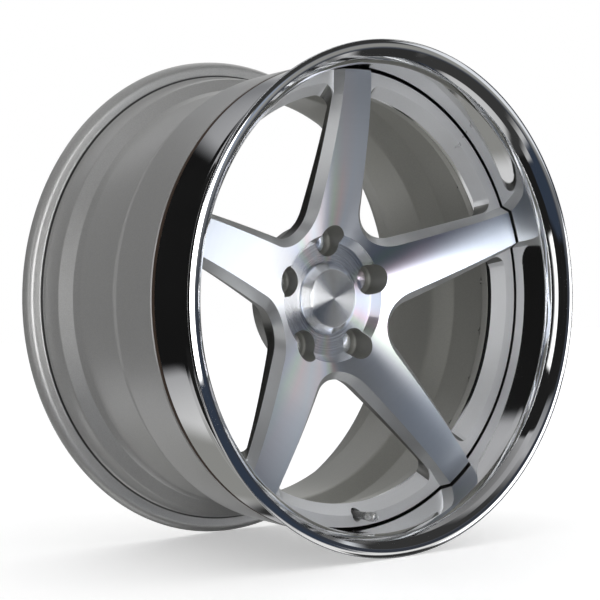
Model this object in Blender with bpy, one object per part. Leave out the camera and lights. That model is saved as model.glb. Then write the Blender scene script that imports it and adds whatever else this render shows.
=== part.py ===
"""Forged five-spoke racing wheel rim, 18 x 10 inch, in three main pieces.

The wheel's axis is Y, the outboard (street) side is -Y and +Z is up, with one
spoke straight up. The origin is on the axis, midway between the rim flanges.
Named sizes are in millimetres and become metres in the mesh helpers.
"""
import math

import bmesh
import bpy
from mathutils import Vector

MM = 0.001
GAP = 0.3                       # running gap between neighbouring solids

# ---- driving dimensions of the rim -------------------------------------------------
RIM_WIDTH = 254.0               # 10 inch, between the two bead heels
BEAD_SEAT_R = 231.0             # 18 inch nominal rim: 462 mm at the bead seat
FLANGE_HEIGHT = 17.5            # J flange
FLANGE_R = BEAD_SEAT_R + FLANGE_HEIGHT
HEEL_Y = RIM_WIDTH / 2
CURL_R = 9.5                    # J flange curl
EDGE_Y = HEEL_Y + CURL_R + 1.5  # outermost plane of the flange
BEAD_SEAT_WIDTH = 22.0
BEAD_TAPER = math.tan(math.radians(5))
LATHE_STEPS = 45                # a multiple of five repeats the facets from spoke to spoke

# ---- joint between lip, barrel and centre -------------------------------------------
RING_BACK_Y = -64.0             # back face of the centre's outer ring
LIP_FLANGE_THICK = 6.2
BARREL_FLANGE_THICK = 8.0
MOUNT_FLANGE_R = 203.5          # inner radius of both mounting flanges
LIP_FLANGE_Y = RING_BACK_Y + GAP
SEAM_Y = LIP_FLANGE_Y + LIP_FLANGE_THICK
BARREL_FLANGE_Y = SEAM_Y + GAP
BOLT_SEAT_Y = BARREL_FLANGE_Y + BARREL_FLANGE_THICK
SEAM_R = 231.2
SEAL_DEPTH = 3.4
CUT_MARGIN = 3.0                # how far a hole's cutter reaches past the faces it opens

# ---- barrel -------------------------------------------------------------------------
CREST_R, CREST_Y = 226.4, 11.5  # outboard edge of the drop centre
WELL_R = 212.5                  # floor of the drop centre
WALL = 5.2

# ---- centre -------------------------------------------------------------------------
SPOKES = 5
CENTER_R = 224.8
LIP_WALL_R = 226.0
BAND_Y = -75.5                  # flat front of the ring between the spokes
BAND_IN_R = 213.0               # from here the ring slopes back to the window
WINDOW_R = 201.8                # outer radius of the window at the ring's back
HUB_PAD_R, HUB_PAD_Y = 57.1, -35.6
STEP_R, STEP_Y = 64.1, -44.6
TIP_R, TIP_Y = 222.9, -85.5
FACE_POWER = 1.5                # how fast the spoke face flattens towards the rim
CHAMFER_DEPTH = 9.3
HUB_FACE_Y = -6.0               # hub mounting face: about +6 mm offset
HUB_BOSS_R = 74.0
HUB_BORE_R = 35.25              # 70.5 mm pilot bore
PCD = 114.3
LUG_POCKET_R = 15.5
STUD_HOLE_R = 7.2
LUG_STEPS = 15
LUG_START = 0.05                # turns the lug facets off the spoke's middle plane

# ---- fasteners and valve --------------------------------------------------------------
BOLTS = 25
BOLT_CIRCLE_R = 214.0
BOLT_R = 3.5                    # M7
BOLT_HOLE_R = 3.9
BOLT_REACH_Y = -69.5
VALVE_R = 213.0                 # distance of the outboard stem from the wheel's axis
VALVE_BASE_Y = -37.0
VALVE_TIP_Y = -99.0
VALVE_STEM_R = 3.85             # 8V1 stem, 7.7 mm
VALVE_THREAD_R = 3.25           # root of the stem's thread, which is drawn as a plain cylinder
VALVE_CAP_R = 4.8
FLANGE_VALVE_HOLE_R = 5.6
RING_VALVE_HOLE_R = 6.4
BARREL_VALVE_HOLE_R = 5.0


def clear_scene():
    for old in list(bpy.data.objects):
        bpy.data.objects.remove(old, do_unlink=True)


def make_material(name, color, roughness, metallic=1.0):
    material = bpy.data.materials.new(name)
    material.use_nodes = True
    shader = material.node_tree.nodes["Principled BSDF"]
    shader.inputs["Base Color"].default_value = (*color, 1.0)
    shader.inputs["Roughness"].default_value = roughness
    shader.inputs["Metallic"].default_value = metallic
    material.diffuse_color = (*color, 1.0)
    return material


def add_object(name, bm, material=None, location=(0, 0, 0)):
    """Turn a bmesh in millimetres into an object in metres whose origin is location."""
    bmesh.ops.recalc_face_normals(bm, faces=bm.faces)
    bmesh.ops.scale(bm, vec=(MM, MM, MM), verts=bm.verts)
    bmesh.ops.translate(bm, vec=-Vector(location) * MM, verts=bm.verts)
    mesh = bpy.data.meshes.new(name)
    bm.to_mesh(mesh)
    bm.free()
    mesh.shade_smooth()
    mesh.set_sharp_from_angle(angle=math.radians(30))
    obj = bpy.data.objects.new(name, mesh)
    obj.location = Vector(location) * MM
    bpy.context.scene.collection.objects.link(obj)
    if material:
        mesh.materials.append(material)
    return obj


def add_cutter(name, bm):
    cutter = add_object(name, bm)
    cutter.hide_render = True
    cutter.display_type = "WIRE"
    return cutter


def cut(target, cutter):
    modifier = target.modifiers.new(cutter.name, "BOOLEAN")
    modifier.operation = "DIFFERENCE"
    modifier.object = cutter
    modifier.solver = "EXACT"


def bridge(bm, ring_a, ring_b):
    """Join two closed rings of the same length with quads."""
    count = len(ring_a)
    for i in range(count):
        j = (i + 1) % count
        bm.faces.new((ring_a[i], ring_a[j], ring_b[j], ring_b[i]))


def turn(bm, profile, steps, center=(0.0, 0.0), start=0.0):
    """Turn a closed (radius, y) profile into a ring around a line parallel to Y."""
    rings = []
    for i in range(steps):
        angle = start + 2 * math.pi * i / steps
        sin, cos = math.sin(angle), math.cos(angle)
        rings.append([bm.verts.new((center[0] + r * sin, y, center[1] + r * cos))
                      for r, y in profile])
    for i in range(steps):
        bridge(bm, rings[i], rings[(i + 1) % steps])


def turn_solid(bm, outline, steps, center=(0.0, 0.0), start=0.0):
    """Turn an open (radius, y) outline into a solid with flat round ends."""
    rings = []
    for r, y in outline:
        rings.append([bm.verts.new((center[0] + r * math.sin(start + 2 * math.pi * i / steps), y,
                                    center[1] + r * math.cos(start + 2 * math.pi * i / steps)))
                      for i in range(steps)])
    for ring_a, ring_b in zip(rings, rings[1:]):
        bridge(bm, ring_a, ring_b)
    bm.faces.new(rings[0])
    bm.faces.new(rings[-1])


def loft(bm, outlines):
    """Join closed outlines of (x, y, z) points, and close the first and the last."""
    rings = [[bm.verts.new(point) for point in outline] for outline in outlines]
    for ring_a, ring_b in zip(rings, rings[1:]):
        bridge(bm, ring_a, ring_b)
    bm.faces.new(rings[0])
    bm.faces.new(rings[-1])


def arc(center, radius, start_deg, end_deg, steps):
    """Points (radius, y) on an arc, both ends included; 0 degrees is +radius, 90 is +y."""
    points = []
    for i in range(steps + 1):
        angle = math.radians(start_deg + (end_deg - start_deg) * i / steps)
        points.append((center[0] + radius * math.cos(angle), center[1] + radius * math.sin(angle)))
    return points


def around(count, radius, start_deg=0.0):
    """(x, z) of points evenly spaced on a circle, clockwise from the top."""
    for i in range(count):
        angle = math.radians(start_deg + 360.0 * i / count)
        yield radius * math.sin(angle), radius * math.cos(angle)


# ---- rim profiles ---------------------------------------------------------------------
def flange_outer(side):
    """Tyre side of a rim flange from the bead seat to the edge; side is -1 outboard, 1 inboard."""
    seat_end = (BEAD_SEAT_R - BEAD_SEAT_WIDTH * BEAD_TAPER, side * (HEEL_Y - BEAD_SEAT_WIDTH))
    base = [(BEAD_SEAT_R, side * (HEEL_Y - 5.0)), (BEAD_SEAT_R + 2.0, side * (HEEL_Y - 1.4)),
            (BEAD_SEAT_R + 6.5, side * HEEL_Y)]
    curl = [(r, side * y) for r, y in arc((FLANGE_R - CURL_R, HEEL_Y + CURL_R), CURL_R, -70, 0, 3)]
    edge = [(FLANGE_R - 1.2, side * EDGE_Y)]
    return [seat_end] + base + curl + edge


def lip_profile():
    wall_start = (LIP_WALL_R, LIP_FLANGE_Y)
    outer = [(MOUNT_FLANGE_R, LIP_FLANGE_Y), (MOUNT_FLANGE_R, SEAM_Y),
             (SEAM_R - SEAL_DEPTH, SEAM_Y), (SEAM_R, SEAM_Y - SEAL_DEPTH),
             (229.8, -95.0), (230.4, -101.0)]
    inner = [(239.5, -EDGE_Y), (235.8, -EDGE_Y + 2.0), (230.6, -EDGE_Y + 5.0),
             (LIP_WALL_R + 1.2, -EDGE_Y + 11.0), (LIP_WALL_R, -120.0)]
    return outer + flange_outer(-1) + inner + [wall_start]


def barrel_profile():
    outer = [(SEAM_R - SEAL_DEPTH, BARREL_FLANGE_Y), (SEAM_R, BARREL_FLANGE_Y + SEAL_DEPTH),
             (CREST_R + 0.6, CREST_Y - 5.0), (CREST_R - 1.6, CREST_Y + 3.0),
             (WELL_R, CREST_Y + 18.0), (WELL_R + 1.0, 88.0), (216.8, 95.2), (228.3, 102.9)]
    inner = [(241.0, EDGE_Y), (231.0, 131.0), (226.0, 124.0), (223.3, 104.0),
             (WELL_R - WALL + 2.0, 94.0), (WELL_R - WALL, 86.0), (WELL_R - WALL, CREST_Y + 20.0),
             (CREST_R - WALL - 0.5, CREST_Y - 1.0), (SEAM_R - 6.0, VALVE_BASE_Y + 9.0),
             (SEAM_R - 6.0, BOLT_SEAT_Y + 6.0),
             (SEAM_R - 9.0, BOLT_SEAT_Y)]
    return (outer + flange_outer(1) + inner
            + [(MOUNT_FLANGE_R, BOLT_SEAT_Y), (MOUNT_FLANGE_R, BARREL_FLANGE_Y)])


def seal_profile():
    """Triangular bead of sealant that fills the groove where lip and barrel meet."""
    mid = (SEAM_Y + BARREL_FLANGE_Y) / 2
    half = SEAL_DEPTH - 0.7
    return [(SEAM_R - 0.5, mid - half), (SEAM_R - 0.5, mid + half), (SEAM_R - SEAL_DEPTH + 0.7, mid)]


# ---- centre: spoke and window shapes --------------------------------------------------
def face_y(radius):
    """Height of the concave spoke face; it flattens towards the rim."""
    share = (TIP_R - min(max(radius, STEP_R), TIP_R)) / (TIP_R - STEP_R)
    return STEP_Y + (TIP_Y - STEP_Y) * (1 - share ** FACE_POWER)


def face_half_width(along):
    return 26.2 - 0.0637 * (along - 70.0)


def chamfer_width(along):
    return 10.2 - 0.03 * (along - 70.0)


def back_depth(along):
    return 23.5 - 0.063 * (along - 70.0)


# Each window level is (share of the chamfer's width, inner radius, outer radius, corner radius).
LEVEL_ABOVE = (-1.0, 64.9, BAND_IN_R, 12.0)
LEVEL_WIDEST = (1.0, 81.0, BAND_IN_R, 12.0)
LEVEL_BACK = (0.72, 78.6, WINDOW_R, 13.0)
INNER_ARC_STEPS = 4
CORNER_STEPS = 3
EDGE_STEP = 0.5                 # small step between the ring's flat band and the spoke flanks
HALF_PITCH = math.pi / SPOKES
BAND_CUT_IN_R = BAND_IN_R - 14.0  # inner edge of the cutter that lowers the ring between the spokes
BAND_CUT_TOP_Y = TIP_Y - 6.0


def spoke_edge(share, along):
    """A point on a spoke's edge as (across, out) from a window's own middle line."""
    half = face_half_width(along) + share * chamfer_width(along)
    sin, cos = math.sin(HALF_PITCH), math.cos(HALF_PITCH)
    return Vector((along * sin - half * cos, along * cos + half * sin))


def window_half_outline(share, inner_r, outer_r, corner):
    """Half a window, from its inner middle point to its outer one, as (across, out) points."""
    start = spoke_edge(share, 0.0)
    direction = (spoke_edge(share, 100.0) - start).normalized()
    normal = Vector((-direction.y, direction.x))
    offset = start.dot(normal)
    fillet_out = (inner_r - offset) / (1 - normal.y)
    fillet_r = fillet_out - inner_r
    inner_arc = []
    tangent_angle = math.atan2(-normal.y, -normal.x)
    for i in range(INNER_ARC_STEPS + 1):
        angle = -math.pi / 2 + (tangent_angle + math.pi / 2) * i / INNER_ARC_STEPS
        inner_arc.append(Vector((fillet_r * math.cos(angle), fillet_out + fillet_r * math.sin(angle))))
    base = start + normal * corner
    along = base.dot(direction)
    reach = (outer_r - corner) ** 2 - base.length_squared + along ** 2
    center = base + direction * (math.sqrt(reach) - along)
    first = math.atan2(-normal.y, -normal.x)
    last = math.atan2(center.y, center.x)
    corner_arc = []
    for i in range(CORNER_STEPS + 1):
        angle = first + (last - first) * i / CORNER_STEPS
        corner_arc.append(center + corner * Vector((math.cos(angle), math.sin(angle))))
    middle = (inner_arc[-1] + corner_arc[0]) / 2
    end_angle = math.atan2(corner_arc[-1].x, corner_arc[-1].y)
    outer_arc = [outer_r * Vector((math.sin(end_angle * k), math.cos(end_angle * k)))
                 for k in (0.5, 0.0)]
    return inner_arc + [middle] + corner_arc + outer_arc


def window_outline(level, window, height):
    """The whole outline of one window in (x, y, z); height gives y from the radius."""
    half = window_half_outline(*level)
    mirrored = [Vector((-p.x, p.y)) for p in reversed(half[1:-1])]
    turn_angle = HALF_PITCH + 2 * math.pi * window / SPOKES
    sin, cos = math.sin(turn_angle), math.cos(turn_angle)
    points = []
    for p in half + mirrored:
        points.append((p.x * cos + p.y * sin, height(p.length), -p.x * sin + p.y * cos))
    return points


def window_back_y(radius):
    """Where the window's narrowing wall ends: just past the spoke's back or the ring's."""
    return max(face_y(radius) + back_depth(radius) + 2.0, RING_BACK_Y + 0.4)


def add_windows(bm):
    for window in range(SPOKES):
        loft(bm, [
            window_outline(LEVEL_ABOVE, window, lambda r: -EDGE_Y),
            window_outline(LEVEL_ABOVE, window, lambda r: face_y(r) - CHAMFER_DEPTH),
            window_outline(LEVEL_WIDEST, window, lambda r: face_y(r) + CHAMFER_DEPTH),
            window_outline(LEVEL_BACK, window, window_back_y),
            window_outline(LEVEL_BACK, window, lambda r: HEEL_Y),
        ])


def band_cut_outline(window, inner_r, outer_r, height):
    """Outline, at one height, of the space above the ring's flat band between two spokes."""
    side = []
    for i in range(4):
        radius = inner_r + (outer_r - inner_r) * i / 3
        share = (height - face_y(radius)) / CHAMFER_DEPTH
        point = spoke_edge(share, radius) - Vector((EDGE_STEP, 0.0))
        side.append(point.normalized() * radius)
    end_angle = math.atan2(side[-1].x, side[-1].y)
    top = [outer_r * Vector((math.sin(end_angle * k), math.cos(end_angle * k)))
           for k in (0.67, 0.33, 0.0)]
    start_angle = math.atan2(side[0].x, side[0].y)
    low = [inner_r * Vector((math.sin(start_angle * k), math.cos(start_angle * k)))
           for k in (0.0, 0.33, 0.67)]
    half = low + side + top
    mirrored = [Vector((-p.x, p.y)) for p in reversed(half[1:-1])]
    turn_angle = HALF_PITCH + 2 * math.pi * window / SPOKES
    sin, cos = math.sin(turn_angle), math.cos(turn_angle)
    return [(p.x * cos + p.y * sin, height, -p.x * sin + p.y * cos) for p in half + mirrored]


def add_band_cuts(bm):
    for window in range(SPOKES):
        loft(bm, [band_cut_outline(window, BAND_CUT_IN_R, CENTER_R + CUT_MARGIN, height)
                  for height in (BAND_CUT_TOP_Y, BAND_Y)])


def center_profile():
    """Blank of the centre before the windows are cut: bore, concave face, ring and back."""
    front = [(HUB_BORE_R, HUB_PAD_Y + 2.6), (37.0, HUB_PAD_Y + 2.6), (37.0, HUB_PAD_Y),
             (HUB_PAD_R, HUB_PAD_Y), (STEP_R, STEP_Y)]
    for radius in (84.0, 106.0, 132.0, 162.0, 194.0):
        front.append((radius, face_y(radius)))
    front += [(CENTER_R, face_y(CENTER_R)), (CENTER_R, RING_BACK_Y), (WINDOW_R - 2.0, RING_BACK_Y)]
    back = []
    for radius in (190.0, 150.0, 115.0, 86.0):
        back.append((radius, face_y(radius) + back_depth(radius)))
    return front + back + [(HUB_BOSS_R + 2.0, -22.0), (HUB_BOSS_R, HUB_FACE_Y), (HUB_BORE_R, HUB_FACE_Y)]


def lug_outline():
    """Stepped cutter of one lug hole: pocket, ledge, 60 degree seat and stud hole."""
    seat_top, seat_y = 11.2, -17.9
    seat_length = (seat_top - STUD_HOLE_R) / math.tan(math.radians(30))
    return [(LUG_POCKET_R, -70.0), (LUG_POCKET_R, -22.0), (13.5, -20.6), (seat_top, seat_y),
            (STUD_HOLE_R, seat_y + seat_length), (STUD_HOLE_R, HUB_FACE_Y + 5.0)]


def bolt_holes(name, y_from, y_to):
    bm = bmesh.new()
    for x, z in around(BOLTS, BOLT_CIRCLE_R):
        turn_solid(bm, [(BOLT_HOLE_R, y_from), (BOLT_HOLE_R, y_to)], 8, (x, z))
    return add_cutter(name, bm)


def valve_hole(name, radius, y_from, y_to):
    bm = bmesh.new()
    turn_solid(bm, [(radius, y_from), (radius, y_to)], 12, (0.0, -VALVE_R))
    return add_cutter(name, bm)


# ---- main pieces --------------------------------------------------------------------
def build_lip():
    bm = bmesh.new()
    turn(bm, lip_profile(), LATHE_STEPS)
    lip = add_object("outer_lip", bm, make_material("mirror_lip", (0.86, 0.87, 0.88), 0.04))
    y_from, y_to = LIP_FLANGE_Y - CUT_MARGIN, SEAM_Y + CUT_MARGIN
    cut(lip, bolt_holes("lip_bolt_holes", y_from, y_to))
    cut(lip, valve_hole("lip_valve_hole", FLANGE_VALVE_HOLE_R, y_from, y_to))


def radial_cutter(name, radius, steps, y, near, far):
    """A round cutter through the rim at the bottom, between two distances from the axis."""
    outlines = []
    for distance in (near, far):
        outline = []
        for i in range(steps):
            angle = 2 * math.pi * (i + 0.5) / steps
            outline.append((radius * math.sin(angle), y + radius * math.cos(angle), -distance))
        outlines.append(outline)
    bm = bmesh.new()
    loft(bm, outlines)
    return add_cutter(name, bm)


def build_barrel():
    bm = bmesh.new()
    turn(bm, barrel_profile(), LATHE_STEPS)
    barrel = add_object("inner_barrel", bm, make_material("silver_paint", (0.42, 0.42, 0.42), 0.35))
    cut(barrel, radial_cutter("barrel_wall_valve_hole", BARREL_VALVE_HOLE_R, 12, VALVE_BASE_Y,
                              WELL_R, SEAM_R + CUT_MARGIN))
    y_from, y_to = BARREL_FLANGE_Y - CUT_MARGIN, BOLT_SEAT_Y + CUT_MARGIN
    cut(barrel, valve_hole("barrel_flange_valve_hole", FLANGE_VALVE_HOLE_R, y_from, y_to))
    cut(barrel, bolt_holes("barrel_bolt_holes", y_from, y_to))


def build_seal():
    bm = bmesh.new()
    turn(bm, seal_profile(), LATHE_STEPS)
    add_object("rim_seal_bead", bm, make_material("sealant", (0.03, 0.022, 0.018), 0.5, 0.0))


def build_center():
    bm = bmesh.new()
    turn(bm, center_profile(), LATHE_STEPS)
    center = add_object("wheel_center", bm, make_material("forged_face", (0.72, 0.73, 0.75), 0.22))
    hole_end_y = RING_BACK_Y + CUT_MARGIN
    cut(center, bolt_holes("center_bolt_holes", BOLT_REACH_Y - 0.6, hole_end_y))
    cut(center, valve_hole("center_valve_hole", RING_VALVE_HOLE_R, TIP_Y, hole_end_y))
    bm = bmesh.new()
    for x, z in around(SPOKES, PCD / 2):
        turn_solid(bm, lug_outline(), LUG_STEPS, (x, z), LUG_START)
    cut(center, add_cutter("lug_cutter", bm))
    bm = bmesh.new()
    add_windows(bm)
    cut(center, add_cutter("window_cutter", bm))
    bm = bmesh.new()
    add_band_cuts(bm)
    cut(center, add_cutter("band_cutter", bm))


def build_bolts():
    material = make_material("bolt_steel", (0.5, 0.5, 0.5), 0.3)
    seat = BOLT_SEAT_Y + GAP
    for number, (x, z) in enumerate(around(BOLTS, BOLT_CIRCLE_R), start=1):
        bm = bmesh.new()
        turn_solid(bm, [(BOLT_R, BOLT_REACH_Y), (BOLT_R, seat), (6.8, seat), (5.4, seat + 8.0)],
                   8, (x, z))
        add_object(f"assembly_bolt_{number:02d}", bm, material, (x, seat, z))


# ---- centre cap ---------------------------------------------------------------------
CAP_SKIRT_R = 36.2
CAP_FACE_R = 29.2
CAP_FACE_Y = -44.0
CAP_SEAT_Y = HUB_PAD_Y + 2.6 - GAP
O_RING_Y = -28.0
CAP_BACK_Y = -22.5
CAP_PLUG_R = HUB_BORE_R - 0.45
O_RING_GROOVE_R = CAP_PLUG_R - 2.4


def build_cap():
    bm = bmesh.new()
    turn_solid(bm, [
        (20.0, CAP_FACE_Y - 0.5), (CAP_FACE_R, CAP_FACE_Y), (CAP_SKIRT_R, HUB_PAD_Y - 0.4),
        (CAP_SKIRT_R, CAP_SEAT_Y), (CAP_PLUG_R, CAP_SEAT_Y), (CAP_PLUG_R, O_RING_Y - 1.4),
        (O_RING_GROOVE_R, O_RING_Y - 1.4), (O_RING_GROOVE_R, O_RING_Y + 1.4),
        (CAP_PLUG_R, O_RING_Y + 1.4), (CAP_PLUG_R - 0.8, CAP_BACK_Y),
        (CAP_PLUG_R - 6.0, CAP_BACK_Y), (CAP_PLUG_R - 6.0, -36.0)], 30)
    add_object("center_cap", bm, make_material("turned_cap", (0.75, 0.76, 0.78), 0.25),
               (0, CAP_FACE_Y, 0))
    bm = bmesh.new()
    ring_r = 1.0
    ring_center = (O_RING_GROOVE_R + GAP + ring_r, O_RING_Y)
    turn(bm, arc(ring_center, ring_r, 0, 300, 5), 30)
    add_object("cap_o_ring", bm, make_material("rubber", (0.02, 0.02, 0.02), 0.6, 0.0),
               (0, CAP_FACE_Y, 0))


# ---- valve --------------------------------------------------------------------------
VALVE_STEPS = 12
BEND_R = 6.0
THREAD_END_Y = -88.0
CORE_BORE_R = 2.6
CORE_BORE_END_Y = -84.0
AIR_BORE_R = 1.5
BARREL_INSIDE_R = 224.2         # flat spot for the washer, inside the barrel
BARREL_OUTSIDE_R = 230.4


def valve_path():
    """Centre line of the bent stem as (y, distance from the wheel axis, heading in degrees)."""
    path = [(VALVE_TIP_Y, VALVE_R, 0.0), (THREAD_END_Y, VALVE_R, 0.0),
            (THREAD_END_Y + 0.6, VALVE_R, 0.0), (CORE_BORE_END_Y, VALVE_R, 0.0),
            (CORE_BORE_END_Y + 0.6, VALVE_R, 0.0)]
    bend_start = VALVE_BASE_Y - BEND_R
    for i in range(4):
        angle = math.radians(90.0 * i / 3)
        path.append((bend_start + BEND_R * math.sin(angle),
                     VALVE_R + BEND_R * (1 - math.cos(angle)), 90.0 * i / 3))
    path.append((VALVE_BASE_Y, BARREL_OUTSIDE_R + 2.6, 90.0))
    return path


def ring_on_path(bm, point, radius, hexagon=False):
    """A ring of vertices across the stem's centre line; a hexagon has its odd points on its flats."""
    y, distance, heading = point
    tilt = math.radians(heading)
    verts = []
    for i in range(VALVE_STEPS):
        angle = 2 * math.pi * i / VALVE_STEPS
        reach = radius * math.cos(math.pi / 6) if hexagon and i % 2 else radius
        across, up = reach * math.sin(angle), reach * math.cos(angle)
        verts.append(bm.verts.new((across, y + up * math.sin(tilt), -distance + up * math.cos(tilt))))
    return verts


def build_stem(material):
    bm = bmesh.new()
    path = valve_path()
    radii = [VALVE_THREAD_R if y <= THREAD_END_Y else VALVE_STEM_R for y, _, _ in path]
    outer = [ring_on_path(bm, point, radius) for point, radius in zip(path, radii)]
    base_y, base_distance, heading = path[-1]
    for radius, distance in ((8.0, base_distance), (8.0, base_distance + 2.4)):
        outer.append(ring_on_path(bm, (base_y, distance, heading), radius))
    bores = [CORE_BORE_R if y <= CORE_BORE_END_Y else AIR_BORE_R for y, _, _ in path]
    inner = [ring_on_path(bm, point, bore) for point, bore in zip(path, bores)]
    inner.append(ring_on_path(bm, (base_y, base_distance + 2.4, heading), AIR_BORE_R))
    for rings in (outer, inner):
        for ring_a, ring_b in zip(rings, rings[1:]):
            bridge(bm, ring_a, ring_b)
    bridge(bm, outer[0], inner[0])
    bridge(bm, outer[-1], inner[-1])
    add_object("valve_stem", bm, material, (0, VALVE_TIP_Y, -VALVE_R))


def radial_ring(name, material, inner_r, outer_r, near, far, hexagon=False):
    """A flat ring around the stem's inner end, between two distances from the wheel's axis."""
    bm = bmesh.new()
    rings = []
    for radius, distance in ((inner_r, near), (outer_r, near), (outer_r, far), (inner_r, far)):
        is_hexagon = hexagon and radius == outer_r
        rings.append(ring_on_path(bm, (VALVE_BASE_Y, distance, 90.0), radius, is_hexagon))
    for ring_a, ring_b in zip(rings, rings[1:] + rings[:1]):
        bridge(bm, ring_a, ring_b)
    add_object(name, bm, material, (0, VALVE_BASE_Y, -near))


def stem_turned(name, material, profile, steps=VALVE_STEPS, origin_y=VALVE_TIP_Y):
    bm = bmesh.new()
    turn(bm, profile, steps, (0.0, -VALVE_R))
    add_object(name, bm, material, (0, origin_y, -VALVE_R))


CAP_TOP_Y = VALVE_TIP_Y - 3.4
CAP_SKIRT_Y = VALVE_TIP_Y + 8.0
CAP_BORE_R = 4.25
CORE_PIN_R = 0.9
CORE_BODY_R = CORE_BORE_R - GAP


def build_valve():
    nickel = make_material("nickel_plate", (0.66, 0.66, 0.66), 0.2)
    brass = make_material("brass", (0.75, 0.55, 0.25), 0.3)
    rubber = make_material("valve_rubber", (0.02, 0.02, 0.02), 0.6, 0.0)
    build_stem(nickel)
    stem_clear = VALVE_STEM_R + GAP
    radial_ring("valve_washer", nickel, stem_clear, 7.0, BARREL_INSIDE_R - 1.2, BARREL_INSIDE_R)
    radial_ring("valve_nut", nickel, stem_clear, 6.6, BARREL_INSIDE_R - 5.0, BARREL_INSIDE_R - 1.5,
                True)
    radial_ring("valve_grommet", rubber, stem_clear, 7.6, BARREL_OUTSIDE_R, BARREL_OUTSIDE_R + 2.2)
    stem_turned("valve_core_body", brass, [
        (CORE_PIN_R + GAP, VALVE_TIP_Y + 1.0), (CORE_BODY_R, VALVE_TIP_Y + 1.0),
        (CORE_BODY_R, CORE_BORE_END_Y - 3.0), (CORE_PIN_R + GAP, CORE_BORE_END_Y - 3.0)], 10)
    bm = bmesh.new()
    turn_solid(bm, [(CORE_PIN_R, VALVE_TIP_Y - 0.2), (CORE_PIN_R, CORE_BORE_END_Y - 2.4),
                    (1.7, CORE_BORE_END_Y - 2.4), (1.7, CORE_BORE_END_Y - 1.6)], 8, (0.0, -VALVE_R))
    add_object("valve_core_pin", bm, brass, (0, VALVE_TIP_Y, -VALVE_R))
    stem_turned("valve_cap_seal", rubber, [
        (2.3, VALVE_TIP_Y - 1.5), (3.9, VALVE_TIP_Y - 1.5),
        (3.9, VALVE_TIP_Y - GAP), (2.3, VALVE_TIP_Y - GAP)])
    bm = bmesh.new()
    turn_solid(bm, [
        (3.4, CAP_TOP_Y - 0.5), (VALVE_CAP_R, CAP_TOP_Y), (VALVE_CAP_R, CAP_SKIRT_Y),
        (CAP_BORE_R, CAP_SKIRT_Y), (CAP_BORE_R, VALVE_TIP_Y - 1.8),
        (1.8, VALVE_TIP_Y - 1.8)], 16, (0.0, -VALVE_R))
    add_object("valve_cap", bm, nickel, (0, VALVE_TIP_Y, -VALVE_R))


clear_scene()
build_barrel()
build_lip()
build_seal()
build_center()
build_bolts()
build_cap()
build_valve()
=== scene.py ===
"""Looks of the forged racing wheel: fine meshes, materials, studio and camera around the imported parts."""
import math

import bmesh
import bpy
from mathutils import Matrix, Vector


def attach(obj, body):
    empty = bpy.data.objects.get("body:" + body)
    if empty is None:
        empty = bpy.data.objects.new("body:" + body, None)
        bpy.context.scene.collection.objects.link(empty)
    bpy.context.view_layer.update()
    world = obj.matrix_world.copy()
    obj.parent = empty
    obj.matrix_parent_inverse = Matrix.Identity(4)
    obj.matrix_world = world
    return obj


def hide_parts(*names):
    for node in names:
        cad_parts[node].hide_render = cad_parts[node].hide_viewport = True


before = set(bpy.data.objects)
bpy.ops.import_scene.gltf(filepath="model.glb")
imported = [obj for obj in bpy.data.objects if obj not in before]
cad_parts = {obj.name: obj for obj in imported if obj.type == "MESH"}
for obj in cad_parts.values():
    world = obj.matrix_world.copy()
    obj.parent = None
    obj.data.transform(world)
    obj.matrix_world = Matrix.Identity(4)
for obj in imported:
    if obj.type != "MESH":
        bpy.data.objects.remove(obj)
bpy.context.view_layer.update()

MM = 0.001
TURN = 2 * math.pi

# ---- shared dimensions, in millimetres (wheel axis Y, outboard -Y, +Z up) -----------------
GAP = 0.3
HEEL_Y = 127.0
BEAD_SEAT_R = 231.0
FLANGE_R = 248.5
CURL_R = 9.5
BEAD_CORNER_Y = 125.6             # where the barrel's painted shade line runs, between bead seat and flange
EDGE_Y = 138.0
LIP_FLANGE_Y = -63.7
SEAM_Y = -57.5
BARREL_FLANGE_Y = -57.2
BOLT_SEAT_Y = -49.2
MOUNT_FLANGE_R = 203.5
SEAM_R = 231.2
SEAL_DEPTH = 3.4
CREST_R, CREST_Y = 226.4, 11.5
WELL_R = 212.5
WALL = 5.2

SPOKES = 5
CENTER_R = 224.5
LIP_WALL_R = 226.4
BAND_Y = -75.5
BAND_IN_R = 213.0
WINDOW_R = 201.8
RING_BACK_Y = -64.0
HUB_PAD_R, HUB_PAD_Y = 57.1, -35.6
STEP_R, STEP_Y = 64.1, -44.6
TIP_R, TIP_Y = 222.9, -85.5
CHAMFER_DEPTH = 9.3
HUB_FACE_Y = -6.0
HUB_BOSS_R = 74.0
HUB_BORE_R = 35.25
PCD = 114.3
LUG_POCKET_R = 15.5
STUD_HOLE_R = 7.2
CAP_RECESS_R, CAP_RECESS_DEPTH = 37.0, 2.6
CAP_SKIRT_R = 36.2

BOLTS = 25
BOLT_CIRCLE_R = 214.0
BOLT_REACH_Y = -69.5
CUT_MARGIN = 3.0
VALVE_R = 213.0
VALVE_BASE_Y = -37.0
VALVE_TIP_Y = -99.0
CAP_BORE_R = 4.25
VALVE_CAP_R = 4.8
BOLT_R = 3.5                      # M7
BOLT_HOLE_R = 3.9
FLANGE_VALVE_HOLE_R = 5.6
RING_VALVE_HOLE_R = 6.4
BARREL_VALVE_HOLE_R = 5.0
THREAD_PITCH = 25.4 / 32          # of the valve stem

LATHE_STEPS = 240
SMOOTH_ANGLE = math.radians(28)   # edges steeper than this stay sharp
FILLET_STEP_DEG = 12.0


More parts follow.
